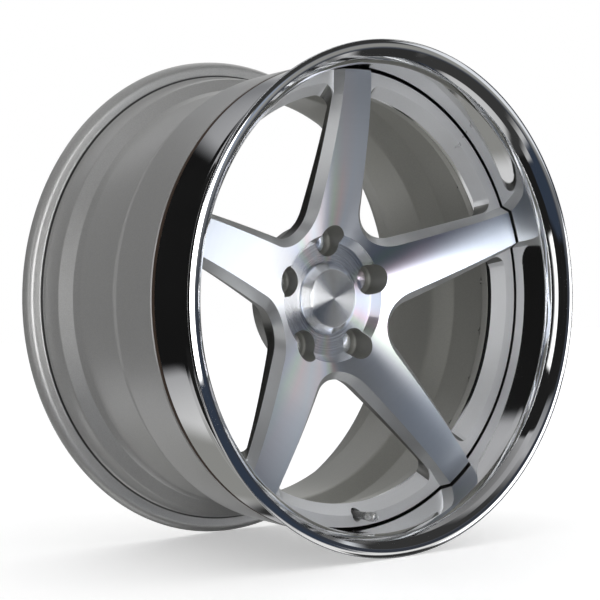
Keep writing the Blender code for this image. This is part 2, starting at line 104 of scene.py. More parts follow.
# ---- node helpers --------------------------------------------------------------------------
class Shader:
    """A small builder for node trees: every method returns an output socket."""

    def __init__(self, tree):
        self.tree = tree

    def node(self, kind, inputs=None, out=0, **settings):
        made = self.tree.nodes.new(kind)
        for key, value in settings.items():
            setattr(made, key, value)
        for key, value in (inputs or {}).items():
            socket = made.inputs[key]
            if isinstance(value, bpy.types.NodeSocket):
                self.tree.links.new(value, socket)
            else:
                socket.default_value = value
        return made.outputs[out]

    def math(self, operation, a, b=0.0):
        return self.node("ShaderNodeMath", {0: a, 1: b}, operation=operation)

    def vector(self, operation, a, b=(0.0, 0.0, 0.0)):
        out = 1 if operation in ("DOT_PRODUCT", "LENGTH") else 0
        return self.node("ShaderNodeVectorMath", {0: a, 1: b}, out, operation=operation)

    def object_coordinates(self):
        return self.node("ShaderNodeTexCoord", out=3)

    def noise(self, vector, scale, detail=2.0, rough=0.5):
        return self.node("ShaderNodeTexNoise", {"Vector": vector, "Scale": scale, "Detail": detail,
                                                "Roughness": rough})

    def spread(self, value, low, high, to_low, to_high, smooth=False):
        kind = "SMOOTHSTEP" if smooth else "LINEAR"
        return self.node("ShaderNodeMapRange", {"Value": value, 1: low, 2: high, 3: to_low, 4: to_high},
                         interpolation_type=kind)

    def mix(self, share, a, b):
        return self.node("ShaderNodeMix", {0: share, 6: a, 7: b}, 2, data_type="RGBA")

    def ramp(self, value, stops):
        made = self.tree.nodes.new("ShaderNodeValToRGB")
        elements = made.color_ramp.elements
        while len(elements) < len(stops):
            elements.new(0.5)
        for element, (place, color) in zip(elements, stops):
            element.position = place
            element.color = (*color, 1.0)
        self.tree.links.new(value, made.inputs[0])
        return made.outputs[0]

    def bump(self, height, strength, distance):
        return self.node("ShaderNodeBump", {"Height": height, "Strength": strength, "Distance": distance})


def new_material(name, build):
    material = bpy.data.materials.new(name)
    material.use_nodes = True
    tree = material.node_tree
    shader = Shader(tree)
    principled = tree.nodes["Principled BSDF"]
    for key, value in build(shader).items():
        socket = principled.inputs[key]
        if isinstance(value, bpy.types.NodeSocket):
            tree.links.new(value, socket)
        else:
            socket.default_value = value
    return material


def gray(value):
    return (value, value, value, 1.0)


def wheel_polar(s):
    """(radius in metres, radial direction, object coordinates) around the wheel axis."""
    place = s.object_coordinates()
    flat = s.vector("MULTIPLY", place, (1.0, 0.0, 1.0))
    return s.vector("LENGTH", flat), s.vector("NORMALIZE", flat), place


def turning_marks(s, radius, place, scale):
    """Fine concentric tool marks: noise that runs around the axis and changes along the radius."""
    low = s.vector("MULTIPLY", place, (3.0, 3.0, 3.0))
    parts = s.node("ShaderNodeCombineXYZ", {0: s.math("MULTIPLY", radius, scale), 1: s.noise(low, 1.0)})
    return s.noise(parts, 1.0, 3.0, 0.7)


# Painted reflection: faint diffraction colours and lighter and darker tones of a turned face, put into the
# base colour along the view's slant to the tool marks.
PAINTED_REFLECTION_RAMP = (
    (0.0, (0.74, 0.79, 0.90)), (0.05, (0.72, 0.80, 0.97)), (0.085, (0.95, 0.80, 0.90)),
    (0.12, (0.86, 0.95, 0.84)), (0.16, (0.88, 0.90, 0.94)), (0.38, (0.80, 0.84, 0.92)),
    (0.44, (0.80, 0.85, 0.95)), (0.485, (0.97, 0.84, 0.86)), (0.52, (0.84, 0.95, 0.84)),
    (0.555, (0.84, 0.86, 0.97)), (0.60, (0.93, 0.86, 0.90)), (0.66, (0.88, 0.90, 0.94)),
    (0.72, (0.97, 0.86, 0.87)), (0.76, (0.84, 0.94, 0.86)), (0.80, (0.84, 0.87, 0.97)),
    (0.86, (0.93, 0.93, 0.95)), (1.0, (0.96, 0.96, 0.97)))


def machined_look(s, base=(0.75, 0.82, 0.92, 1.0), rough=0.28):
    radius, radial, place = wheel_polar(s)
    marks = turning_marks(s, radius, place, 1400.0)
    rings = turning_marks(s, radius, place, 260.0)
    # Painted reflection: the view-dependent ramp is mixed into the base colour, most strongly near the hub.
    incoming = s.node("ShaderNodeNewGeometry", out=4)
    facing = s.vector("DOT_PRODUCT", incoming, radial)
    tint = s.ramp(s.spread(facing, -0.75, 0.75, 0.0, 1.0), PAINTED_REFLECTION_RAMP)
    near_hub = s.spread(radius, 0.10, 0.15, 0.9, 0.35, True)
    color = s.mix(near_hub, base, tint)
    color = s.mix(s.spread(rings, 0.2, 0.8, 0.0, 0.12), color, (0.62, 0.65, 0.70, 1.0))
    roughness = s.math("ADD", rough, s.spread(marks, 0.2, 0.8, -0.006, 0.008))
    return {"Base Color": color, "Metallic": 1.0, "Roughness": roughness, "Anisotropic": 0.985,
            "Tangent": radial}


def cap_look(s):
    """Spun aluminium, finer and brighter than the machined face."""
    radius, radial, place = wheel_polar(s)
    marks = turning_marks(s, radius, place, 1800.0)
    color = s.mix(s.spread(marks, 0.3, 0.7, 0.0, 1.0), (0.80, 0.81, 0.83, 1.0), (0.90, 0.905, 0.915, 1.0))
    roughness = s.spread(marks, 0.3, 0.7, 0.235, 0.25)
    return {"Base Color": color, "Metallic": 1.0, "Roughness": roughness, "Anisotropic": 0.985,
            "Tangent": radial}


def satin_look(s, base, rough, grain=0.00004, metallic=0.9):
    place = s.object_coordinates()
    fine = s.noise(place, 1500.0, 2.0, 0.6)
    wide = s.noise(place, 16.0, 4.0)
    color = s.mix(s.spread(wide, 0.3, 0.7, 0.0, 0.5), (*[c * 0.93 for c in base], 1.0), (*base, 1.0))
    color = s.mix(s.spread(fine, 0.35, 0.65, 0.0, 0.25), color, (*[c * 0.8 for c in base], 1.0))
    roughness = s.spread(wide, 0.2, 0.8, rough - 0.04, rough + 0.05)
    return {"Base Color": color, "Metallic": metallic, "Roughness": roughness,
            "Normal": s.bump(fine, 0.8, grain)}


def paint_look(s, base, rough, painted_shade_line=True):
    place = s.object_coordinates()
    flakes = s.node("ShaderNodeTexVoronoi", {"Vector": place, "Scale": 1600.0}, 1)
    parts = s.node("ShaderNodeSeparateColor", {0: flakes})
    wide = s.noise(place, 9.0, 4.0)
    peel = s.noise(place, 260.0, 2.0)
    color = s.mix(parts, (*[c * 0.92 for c in base], 1.0), (*[min(1.0, c * 1.07) for c in base], 1.0))
    color = s.mix(s.spread(wide, 0.3, 0.7, 0.0, 0.12), color, (*[c * 0.8 for c in base], 1.0))
    # Painted shade: a thin near-black line in the crease where the bead seat meets the flange.
    along = s.math("ABSOLUTE", s.node("ShaderNodeSeparateXYZ", {0: place}, 1))
    off = s.math("ABSOLUTE", s.math("SUBTRACT", along, BEAD_CORNER_Y * MM))
    corner = s.spread(off, 0.0006, 0.0012, 0.93, 0.0, True)
    if painted_shade_line:
        color = s.mix(corner, color, gray(0.02))
    roughness = s.spread(parts, 0.0, 1.0, rough - 0.05, rough + 0.08)
    return {"Base Color": color, "Metallic": 0.6, "Roughness": roughness, "Coat Weight": 0.25,
            "Coat Roughness": 0.12, "Normal": s.bump(peel, 0.5, 0.00005)}


def mirror_look(s, base=(0.90, 0.905, 0.91, 1.0), rough=0.035):
    place = s.object_coordinates()
    haze = s.noise(place, 14.0, 5.0, 0.6)
    hairs = s.noise(s.vector("MULTIPLY", place, (1.0, 60.0, 1.0)), 40.0, 3.0)
    roughness = s.math("ADD", s.spread(haze, 0.4, 0.75, rough, rough + 0.05),
                       s.spread(hairs, 0.5, 0.8, 0.0, 0.03))
    return {"Base Color": base, "Metallic": 1.0, "Roughness": roughness,
            "Normal": s.bump(haze, 0.25, 0.00002)}


def pocket_look(s):
    place = s.object_coordinates()
    fine = s.noise(place, 900.0, 3.0)
    color = s.mix(fine, (0.27, 0.27, 0.25, 1.0), (0.42, 0.42, 0.39, 1.0))
    return {"Base Color": color, "Metallic": 0.65, "Roughness": s.spread(fine, 0.3, 0.7, 0.35, 0.5),
            "Normal": s.bump(fine, 0.6, 0.00005)}


def rubber_look(s, value=0.02, rough=0.55):
    place = s.object_coordinates()
    fine = s.noise(place, 700.0, 4.0, 0.7)
    color = s.mix(fine, gray(value * 0.7), gray(value * 1.6))
    return {"Base Color": color, "Roughness": s.spread(fine, 0.3, 0.7, rough - 0.08, rough + 0.12),
            "Normal": s.bump(fine, 0.7, 0.00008)}


def plated_look(s, base, rough):
    place = s.object_coordinates()
    fine = s.noise(place, 500.0, 4.0, 0.65)
    wide = s.noise(place, 90.0, 3.0)
    dark = (*[c * 0.72 for c in base], 1.0)
    color = s.mix(s.spread(wide, 0.45, 0.75, 0.0, 0.3), (*base, 1.0), dark)
    return {"Base Color": color, "Metallic": 1.0, "Roughness": s.spread(fine, 0.3, 0.7, rough, rough + 0.1),
            "Normal": s.bump(fine, 0.5, 0.000008)}


def threaded_look(s):
    """Nickel plate with a fine thread banded along the wheel's axis, with painted shade in the thread's
    roots.
    """
    place = s.object_coordinates()
    along = s.node("ShaderNodeSeparateXYZ", {0: place}, 1)
    wave = s.math("SINE", s.math("MULTIPLY", along, TURN / (THREAD_PITCH * MM)))
    fine = s.noise(place, 500.0, 4.0, 0.65)
    # Painted shade: the thread's roots are darkened in the base colour.
    color = s.mix(s.spread(wave, -0.4, 0.6, 0.0, 1.0, True), gray(0.12), gray(0.72))
    return {"Base Color": color, "Metallic": 1.0, "Roughness": s.spread(fine, 0.3, 0.7, 0.25, 0.38),
            "Normal": s.bump(wave, 0.5, 0.00012)}


MACHINED = new_material("machined_face", machined_look)
HUB_PAD = new_material("machined_hub_pad", lambda s: machined_look(s, (0.72, 0.78, 0.87, 1.0), 0.27))
BRIGHT = new_material("bright_cut_edge", lambda s: machined_look(s, (0.94, 0.95, 0.96, 1.0), 0.2))
# Painted shade: a dark copy of the chamfer's satin for the spoke flanks and the ring's rim edge and back,
# standing in for the shade they sit in.
SHADED_SATIN = new_material("satin_flank_painted_shade", lambda s: satin_look(s, (0.26, 0.26, 0.25), 0.34))
SATIN_LIGHT = new_material("satin_chamfer", lambda s: satin_look(s, (0.72, 0.73, 0.74), 0.32, metallic=0.8))
RING = new_material("satin_ring", lambda s: satin_look(s, (0.86, 0.87, 0.89), 0.3, 0.00004, 0.45))
FORGED_BACK = new_material("forged_back", lambda s: satin_look(s, (0.50, 0.50, 0.49), 0.42, metallic=0.6))
# Painted shade: near-black on the lip's joint faces and on its wall in the narrow gap beside the centre's
# ring.
GAP_SHADE = new_material("painted_gap_shade", lambda s: satin_look(s, (0.035, 0.033, 0.03), 0.5))
POCKET = new_material("pocket_paint", pocket_look)
CAP_TURNED = new_material("turned_cap_face", cap_look)
MIRROR = new_material("polished_lip", mirror_look)
PAINT = new_material("silver_powder_coat", lambda s: paint_look(s, (0.56, 0.56, 0.555), 0.36))
PAINT_INSIDE = new_material("inner_silver_coat", lambda s: paint_look(s, (0.52, 0.52, 0.49), 0.42, False))
SEALANT = new_material("dark_sealant", lambda s: satin_look(s, (0.06, 0.035, 0.022), 0.5, metallic=0.0))
RUBBER = new_material("black_rubber", rubber_look)
STEEL = new_material("plated_bolt_steel", lambda s: plated_look(s, (0.52, 0.51, 0.49), 0.24))
THREADED = new_material("threaded_nickel", threaded_look)
NICKEL = new_material("bright_nickel", lambda s: plated_look(s, (0.88, 0.88, 0.87), 0.24))
BRASS = new_material("plain_brass", lambda s: plated_look(s, (0.75, 0.56, 0.27), 0.2))


# ---- mesh helpers --------------------------------------------------------------------------
def add_piece(name, verts, faces, materials, indexes=None):
    """A mesh from points in millimetres, shaded smooth except across sharp edges."""
    mesh = bpy.data.meshes.new(name)
    mesh.from_pydata([tuple(c * MM for c in v) for v in verts], [], faces)
    for material in materials:
        mesh.materials.append(material)
    if indexes:
        mesh.polygons.foreach_set("material_index", indexes)
    bm = bmesh.new()
    bm.from_mesh(mesh)
    bmesh.ops.recalc_face_normals(bm, faces=bm.faces)
    bm.to_mesh(mesh)
    bm.free()
    mesh.shade_smooth()
    mesh.set_sharp_from_angle(angle=SMOOTH_ANGLE)
    obj = bpy.data.objects.new(name, mesh)
    bpy.context.scene.collection.objects.link(obj)
    return obj


def rounded(points, closed=True):
    """Round the corners of a (radius, y[, fillet[, material]]) outline.

    Returns the points and the material index of the segment after each point."""
    out, tags = [], []
    count = len(points)
    for i, point in enumerate(points):
        here = Vector(point[:2])
        fillet = point[2] if len(point) > 2 else 0.0
        tag = point[3] if len(point) > 3 else 0
        if fillet <= 0 or (not closed and i in (0, count - 1)):
            out.append(here)
            tags.append(tag)
            continue
        before = Vector(points[i - 1][:2]) - here
        after = Vector(points[(i + 1) % count][:2]) - here
        angle = before.angle(after)
        reach = min(fillet / math.tan(angle / 2), 0.48 * before.length, 0.48 * after.length)
        radius = reach * math.tan(angle / 2)
        start = here + before.normalized() * reach
        middle = (before.normalized() + after.normalized()).normalized()
        center = here + middle * (radius / math.sin(angle / 2))
        sweep = math.pi - angle
        steps = max(2, math.ceil(math.degrees(sweep) / FILLET_STEP_DEG))
        arm = start - center
        sign = 1.0 if before.x * after.y - before.y * after.x < 0 else -1.0
        for k in range(steps + 1):
            turn_by = sign * sweep * k / steps
            cos, sin = math.cos(turn_by), math.sin(turn_by)
            out.append(center + Vector((arm.x * cos - arm.y * sin, arm.x * sin + arm.y * cos)))
            tags.append(tag)
    return out, tags


def lathe_data(outline, steps, center, closed, tags):
    """Vertices, faces and material indexes of an outline turned around a line parallel to Y."""
    count = len(outline)
    verts, faces, indexes = [], [], []
    for i in range(steps):
        angle = TURN * i / steps
        sin, cos = math.sin(angle), math.cos(angle)
        verts += [(center[0] + p[0] * sin, p[1], center[1] + p[0] * cos) for p in outline]
    segments = count if closed else count - 1
    for i in range(steps):
        a, b = i * count, (i + 1) % steps * count
        for j in range(segments):
            k = (j + 1) % count
            faces.append((a + j, a + k, b + k, b + j))
            indexes.append(tags[j])
    if not closed:
        faces.append(tuple(i * count for i in range(steps)))
        indexes.append(tags[0])
        faces.append(tuple(i * count + count - 1 for i in reversed(range(steps))))
        indexes.append(tags[-1])
    return verts, faces, indexes


def lathe(name, points, materials, steps=LATHE_STEPS, closed=True):
    outline, tags = rounded(points, closed)
    verts, faces, indexes = lathe_data(outline, steps, (0.0, 0.0), closed, tags)
    return add_piece(name, verts, faces, materials, indexes)


def join_data(parts):
    verts, faces, indexes = [], [], []
    for part_verts, part_faces, part_indexes in parts:
        base = len(verts)
        verts += part_verts
        faces += [tuple(base + v for v in face) for face in part_faces]
        indexes += part_indexes
    return verts, faces, indexes


def loft_data(rings, tags):
    """Closed rings joined in order, first and last closed; tags has one material per gap between rings."""
    verts, faces, indexes = [], [], []
    count = len(rings[0])
    for ring in rings:
        verts += [tuple(p) for p in ring]
    for level in range(len(rings) - 1):
        a, b = level * count, (level + 1) * count
        for i in range(count):
            j = (i + 1) % count
            faces.append((a + i, a + j, b + j, b + i))
            indexes.append(tags[level])
    faces.append(tuple(range(count)))
    indexes.append(tags[0])
    faces.append(tuple(reversed(range((len(rings) - 1) * count, len(rings) * count))))
    indexes.append(tags[-1])
    return verts, faces, indexes


def carve(obj, cutters):
    """Cut closed meshes, given as (verts, faces, indexes), out of obj and keep the result as its mesh."""
    made = []
    for number, (verts, faces, indexes) in enumerate(cutters):
        cutter = add_piece(f"{obj.name}_cutter_{number}", verts, faces, list(obj.data.materials), indexes)
        modifier = obj.modifiers.new(cutter.name, "BOOLEAN")
        modifier.operation = "DIFFERENCE"
        modifier.solver = "EXACT"
        modifier.material_mode = "INDEX"
        modifier.object = cutter
        made.append(cutter)
    bpy.context.view_layer.update()
    graph = bpy.context.evaluated_depsgraph_get()
    mesh = bpy.data.meshes.new_from_object(obj.evaluated_get(graph))
    obj.modifiers.clear()
    obj.data = mesh
    for cutter in made:
        bpy.data.objects.remove(cutter, do_unlink=True)
    mesh.shade_smooth()
    mesh.set_sharp_from_angle(angle=SMOOTH_ANGLE)
    return obj


def around(count, radius):
    """Places on a circle around the wheel axis, as (x, z), from the top."""
    for i in range(count):
        angle = TURN * i / count
        yield radius * math.sin(angle), radius * math.cos(angle)


def cylinder_cutter(radius, y_from, y_to, places, steps=32, tag=0):
    parts = []
    for place in places:
        parts.append(lathe_data([(radius, y_from), (radius, y_to)], steps, place, False, [tag, tag]))
    return join_data(parts)


# ---- lip and barrel ------------------------------------------------------------------------
CURL_DEG, CURL_STEPS = 78, 8      # sweep of the flange's curl


def flange_outer(side, seat_end_r):
    """Tyre side of a rim flange from the bead seat to the outermost edge."""
    points = [(seat_end_r, side * (HEEL_Y - 22.0), 1.2), (BEAD_SEAT_R, side * (HEEL_Y - 4.0), 5.0),
              (BEAD_SEAT_R + 3.0, side * HEEL_Y, 3.0)]
    for i in range(CURL_STEPS + 1):
        angle = math.radians(CURL_DEG * (i / CURL_STEPS - 1))
        points.append((FLANGE_R - CURL_R + CURL_R * math.cos(angle),
                       side * (HEEL_Y + CURL_R + CURL_R * math.sin(angle))))
    points.append((FLANGE_R - 0.3, side * (EDGE_Y - 0.6), 0.6))
    return points


# The lip's front edge is an arc around (CROWN_R, -EDGE_Y + CROWN_ARC_R), from its outer to its inner tilt.
CROWN_R, CROWN_ARC_R = 241.4, 14.4
CROWN_OUT_DEG, CROWN_IN_DEG = 27.0, 8.0
CROWN_STEPS = 8


def build_lip():
    # Tag 1 marks the joint faces and the gap wall, which get the painted gap shade.
    outer = [(MOUNT_FLANGE_R, LIP_FLANGE_Y, 0.4), (MOUNT_FLANGE_R, SEAM_Y, 0.4, 1),
             (SEAM_R - SEAL_DEPTH, SEAM_Y, 0.0, 1), (SEAM_R, SEAM_Y - SEAL_DEPTH, 0.4),
             (229.8, -95.0, 8.0), (230.4, -101.0, 4.0)]
    crown = []
    for i in range(CROWN_STEPS + 1):
        tilt = math.radians(CROWN_OUT_DEG - (CROWN_OUT_DEG + CROWN_IN_DEG) * i / CROWN_STEPS)
        crown.append((CROWN_R + CROWN_ARC_R * math.sin(tilt),
                      -EDGE_Y + CROWN_ARC_R * (1.0 - math.cos(tilt))))
    inner = crown + [(235.9, -135.0, 3.0), (232.2, -131.5, 4.0), (228.4, -126.2, 7.0), (226.5, -118.5, 8.0),
                     (LIP_WALL_R, -111.0, 9.0), (LIP_WALL_R, BAND_Y + 1.0, 0.0, 1),
                     (LIP_WALL_R, LIP_FLANGE_Y, 0.5, 1)]
    lip = lathe("polished_outer_lip", outer + flange_outer(-1, 229.2) + inner, [MIRROR, GAP_SHADE])
    y_from, y_to = LIP_FLANGE_Y - CUT_MARGIN, SEAM_Y + CUT_MARGIN
    holes = cylinder_cutter(BOLT_HOLE_R, y_from, y_to, around(BOLTS, BOLT_CIRCLE_R), 16)
    valve = cylinder_cutter(FLANGE_VALVE_HOLE_R, y_from, y_to, [(0.0, -VALVE_R)])
    carve(lip, [holes, valve])
    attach(lip, "wheel")
    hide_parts("outer_lip")


def build_barrel():
    outer = [(SEAM_R - SEAL_DEPTH, BARREL_FLANGE_Y), (SEAM_R, BARREL_FLANGE_Y + SEAL_DEPTH, 0.5),
             (CREST_R + 0.6, CREST_Y - 5.0, 9.0), (CREST_R - 2.2, CREST_Y + 3.4, 6.0),
             (WELL_R, CREST_Y + 18.0, 16.0), (WELL_R + 1.0, 88.0, 10.0), (216.8, 95.2, 2.0),
             (228.3, 102.9, 1.0)]
    inner = [(241.0, EDGE_Y, 1.4, 1), (235.0, EDGE_Y - 3.0, 4.0, 1), (228.6, 130.0, 7.0, 1),
             (225.6, 122.0, 9.0, 1), (223.3, 104.0, 6.0, 1),
             (WELL_R - WALL + 2.0, 94.0, 6.0, 1), (WELL_R - WALL, 84.0, 8.0, 1),
             (WELL_R - WALL, CREST_Y + 20.0, 14.0, 1), (CREST_R - WALL - 0.5, CREST_Y - 1.0, 8.0, 1),
             (SEAM_R - 6.0, VALVE_BASE_Y + 9.0, 2.0, 1), (SEAM_R - 6.0, BOLT_SEAT_Y + 4.0, 3.0, 1),
             (SEAM_R - 9.6, BOLT_SEAT_Y, 2.0, 1), (MOUNT_FLANGE_R, BOLT_SEAT_Y, 0.5, 1),
             (MOUNT_FLANGE_R, BARREL_FLANGE_Y, 0.4, 1)]
    barrel = lathe("painted_inner_barrel", outer + flange_outer(1, 229.1) + inner, [PAINT, PAINT_INSIDE])
    y_from, y_to = BARREL_FLANGE_Y - CUT_MARGIN, BOLT_SEAT_Y + CUT_MARGIN
    holes = cylinder_cutter(BOLT_HOLE_R, y_from, y_to, around(BOLTS, BOLT_CIRCLE_R), 16, 1)
    valve = cylinder_cutter(FLANGE_VALVE_HOLE_R, y_from, y_to, [(0.0, -VALVE_R)], 32, 1)
    turns = [TURN * (i + 0.5) / 32 for i in range(32)]
    hole = [(BARREL_VALVE_HOLE_R * math.sin(turn), VALVE_BASE_Y + BARREL_VALVE_HOLE_R * math.cos(turn))
            for turn in turns]
    wall = loft_data([[(x, y, z) for x, y in hole] for z in (-WELL_R, -SEAM_R - CUT_MARGIN)], [1])
    carve(barrel, [wall, valve, holes])
    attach(barrel, "wheel")
    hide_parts("inner_barrel")


def build_seal():
    mid = (SEAM_Y + BARREL_FLANGE_Y) / 2
    half = SEAL_DEPTH - 0.7
    seal = lathe("rim_sealant_bead", [(SEAM_R - 0.5, mid - half, 0.5), (SEAM_R - 0.2, mid, 2.0),
                                      (SEAM_R - 0.5, mid + half, 0.5),
                                      (SEAM_R - SEAL_DEPTH + 0.7, mid, 0.2)], [SEALANT])
    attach(seal, "wheel")
    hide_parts("rim_seal_bead")


# ---- centre --------------------------------------------------------------------------------
C_SHADED_SATIN, C_FACE, C_PAD, C_STEP, C_CHAMFER, C_RING, C_POCKET, C_SEAT, C_BACK = range(9)
# Window outlines: share of the chamfer's width, inner radius, outer radius, corner radius.
LEVEL_ABOVE = (-1.0, 64.9, BAND_IN_R, 12.0)
LEVEL_WIDEST = (1.0, 81.0, BAND_IN_R, 12.0)
LEVEL_BACK = (0.72, 78.6, WINDOW_R, 13.0)
EDGE_STEP = 0.5                   # the ring's cut stays this far from the spoke's chamfer
HALF_PITCH = math.pi / SPOKES
FACE_POWER = 1.5                  # how fast the spoke face flattens towards the rim
ROOT_R = 70.0                     # where the spoke's widths are stated
RING_FROM_R = 199.0               # flank faces wholly beyond this belong to the ring
INNER_ARC, CORNER_ARC, LONG_SIDE = 18, 9, 14  # segments of a window's outline
FACE_STEPS, BACK_STEPS = 32, 12   # segments of the centre's front and back profile
BACK_OUT_R, BACK_IN_R = 190.0, 84.0
BAND_SIDE_STEPS = 8
BAND_CUT_IN_R = BAND_IN_R - 14.0
BAND_CUT_TOP_Y = TIP_Y - 6.0


def face_y(radius):
    """Height of the machined face: steep near the hub, flat at the rim."""
    share = (TIP_R - min(max(radius, STEP_R), TIP_R)) / (TIP_R - STEP_R)
    return STEP_Y + (TIP_Y - STEP_Y) * (1 - share ** FACE_POWER)


def tapered(root, slope, along):
    """A size of the spoke that changes evenly along it, from its value at the root."""
    return root - slope * (along - ROOT_R)


def face_half_width(along):
    return tapered(26.2, 0.0637, along)


def chamfer_width(along):
    return tapered(10.2, 0.03, along)


def back_depth(along):
    return tapered(23.5, 0.063, along)


def spoke_edge(share, along):
    """A point of the edge between spoke and window, share chamfer widths out from the face."""
    half = face_half_width(along) + share * chamfer_width(along)
    sin, cos = math.sin(HALF_PITCH), math.cos(HALF_PITCH)
    return Vector((along * sin - half * cos, along * cos + half * sin))


def half_arc(radius, angle):
    """Points on a circle around the wheel axis, from the angle to the window's middle."""
    return [radius * Vector((math.sin(angle * k / LONG_SIDE), math.cos(angle * k / LONG_SIDE)))
            for k in range(LONG_SIDE, -1, -1)]


def window_half_outline(share, inner_r, outer_r, corner):
    """Half a window, from its inner middle point to its outer one, as (across, out) points."""
    start = spoke_edge(share, 0.0)
    direction = (spoke_edge(share, 100.0) - start).normalized()
    normal = Vector((-direction.y, direction.x))
    offset = start.dot(normal)
    fillet_out = (inner_r - offset) / (1 - normal.y)
    fillet_r = fillet_out - inner_r
    tangent_angle = math.atan2(-normal.y, -normal.x)
    inner_arc = []
    for i in range(INNER_ARC + 1):
        angle = -math.pi / 2 + (tangent_angle + math.pi / 2) * i / INNER_ARC
        inner_arc.append(Vector((fillet_r * math.cos(angle), fillet_out + fillet_r * math.sin(angle))))
    base = start + normal * corner
    along = base.dot(direction)
    reach = (outer_r - corner) ** 2 - base.length_squared + along ** 2
    center = base + direction * (math.sqrt(reach) - along)
    first = math.atan2(-normal.y, -normal.x)
    last = math.atan2(center.y, center.x)
    corner_arc = []
    for i in range(CORNER_ARC + 1):
        angle = first + (last - first) * i / CORNER_ARC
        corner_arc.append(center + corner * Vector((math.cos(angle), math.sin(angle))))
    side = [inner_arc[-1].lerp(corner_arc[0], k / LONG_SIDE) for k in range(1, LONG_SIDE)]
    end_angle = math.atan2(corner_arc[-1].x, corner_arc[-1].y)
    return inner_arc + side + corner_arc + half_arc(outer_r, end_angle)[1:]


def place_outline(half, window, height):
    """The whole outline from its half, turned to its window, each point at height(radius)."""
    mirrored = [Vector((-p.x, p.y)) for p in reversed(half[1:-1])]
    angle = HALF_PITCH + TURN * window / SPOKES
    sin, cos = math.sin(angle), math.cos(angle)
    return [(p.x * cos + p.y * sin, height(p.length), -p.x * sin + p.y * cos) for p in half + mirrored]


def window_back_y(radius):
    """Where the flank ends: behind the spoke, or at the ring's back."""
    return max(face_y(radius) + back_depth(radius) + 2.0, RING_BACK_Y + 0.4)


def window_cutters():
    """One cutter per window: chamfer, flank and, at the rim, the ring's slope in its own material."""
    parts = []
    levels = [
        (LEVEL_ABOVE, lambda r: -EDGE_Y, C_CHAMFER),
        (LEVEL_ABOVE, lambda r: face_y(r) - CHAMFER_DEPTH, C_CHAMFER),
        (LEVEL_WIDEST, lambda r: face_y(r) + CHAMFER_DEPTH, C_SHADED_SATIN),
        (LEVEL_BACK, window_back_y, C_SHADED_SATIN),
        (LEVEL_BACK, lambda r: HEEL_Y, C_SHADED_SATIN)]
    for window in range(SPOKES):
        rings = [place_outline(window_half_outline(*level), window, height) for level, height, _ in levels]
        verts, faces, indexes = loft_data(rings, [tag for _, _, tag in levels[:-1]])
        for number, face in enumerate(faces):
            nearest = min(math.hypot(verts[v][0], verts[v][2]) for v in face)
            if indexes[number] == C_SHADED_SATIN and nearest > RING_FROM_R:
                indexes[number] = C_RING
        parts.append((verts, faces, indexes))
    return join_data(parts)


def band_cut_outline(inner_r, outer_r, height):
    """Half of the cutter that lowers the ring between two spokes, at one height."""
    side = []
    for i in range(BAND_SIDE_STEPS + 1):
        radius = inner_r + (outer_r - inner_r) * i / BAND_SIDE_STEPS
        share = (height - face_y(radius)) / CHAMFER_DEPTH
        point = spoke_edge(share, radius) - Vector((EDGE_STEP, 0.0))
        side.append(point.normalized() * radius)
    top = half_arc(outer_r, math.atan2(side[-1].x, side[-1].y))[1:]
    low = half_arc(inner_r, math.atan2(side[0].x, side[0].y))[:0:-1]
    return low + side + top


def band_cutters():
    parts = []
    for window in range(SPOKES):
        rings = []
        for height in (BAND_CUT_TOP_Y, BAND_Y):
            half = band_cut_outline(BAND_CUT_IN_R, CENTER_R + CUT_MARGIN, height)
            rings.append([(x, height, z) for x, _, z in place_outline(half, window, lambda r: 0.0)])
        verts, faces, indexes = loft_data(rings, [C_CHAMFER])
        indexes[-1] = C_RING
        parts.append((verts, faces, indexes))
    return join_data(parts)


def center_outline():
    recess_y = HUB_PAD_Y + CAP_RECESS_DEPTH
    front = [(HUB_BORE_R, recess_y, 0.0, C_PAD), (CAP_RECESS_R, recess_y, 0.0, C_PAD),
             (CAP_RECESS_R, HUB_PAD_Y, 0.3, C_PAD), (HUB_PAD_R, HUB_PAD_Y, 0.6, C_STEP),
             (STEP_R, STEP_Y, 0.6, C_FACE)]
    for i in range(1, FACE_STEPS):
        radius = STEP_R + (CENTER_R - STEP_R) * i / FACE_STEPS
        front.append((radius, face_y(radius), 0.0, C_FACE))
    front += [(CENTER_R, face_y(CENTER_R), 0.5, C_SHADED_SATIN), (CENTER_R, RING_BACK_Y, 0.4, C_SHADED_SATIN),
              (WINDOW_R - 2.0, RING_BACK_Y, 0.0, C_SHADED_SATIN)]
    back = []
    for i in range(BACK_STEPS + 1):
        radius = BACK_OUT_R - (BACK_OUT_R - BACK_IN_R) * i / BACK_STEPS
        back.append((radius, face_y(radius) + back_depth(radius), 0.0, C_BACK))
    return front + back + [(HUB_BOSS_R + 2.0, -22.0, 6.0, C_BACK), (HUB_BOSS_R, HUB_FACE_Y, 1.2, C_BACK),
                           (HUB_BORE_R, HUB_FACE_Y, 1.2, C_BACK)]


def lug_cutters():
    seat_top, seat_y = 11.2, -17.9
    seat_length = (seat_top - STUD_HOLE_R) / math.tan(math.radians(30))
    outline = [(LUG_POCKET_R, -70.0, 0, C_POCKET), (LUG_POCKET_R, -22.0, 2.0, C_POCKET),
               (13.5, -20.6, 0.6, C_POCKET), (seat_top, seat_y, 0.3, C_SEAT),
               (STUD_HOLE_R, seat_y + seat_length, 0.4, C_SEAT), (STUD_HOLE_R, HUB_FACE_Y + 5.0, 0, C_SEAT)]
    points, tags = rounded(outline, False)
    return join_data([lathe_data(points, 64, place, False, tags) for place in around(SPOKES, PCD / 2)])


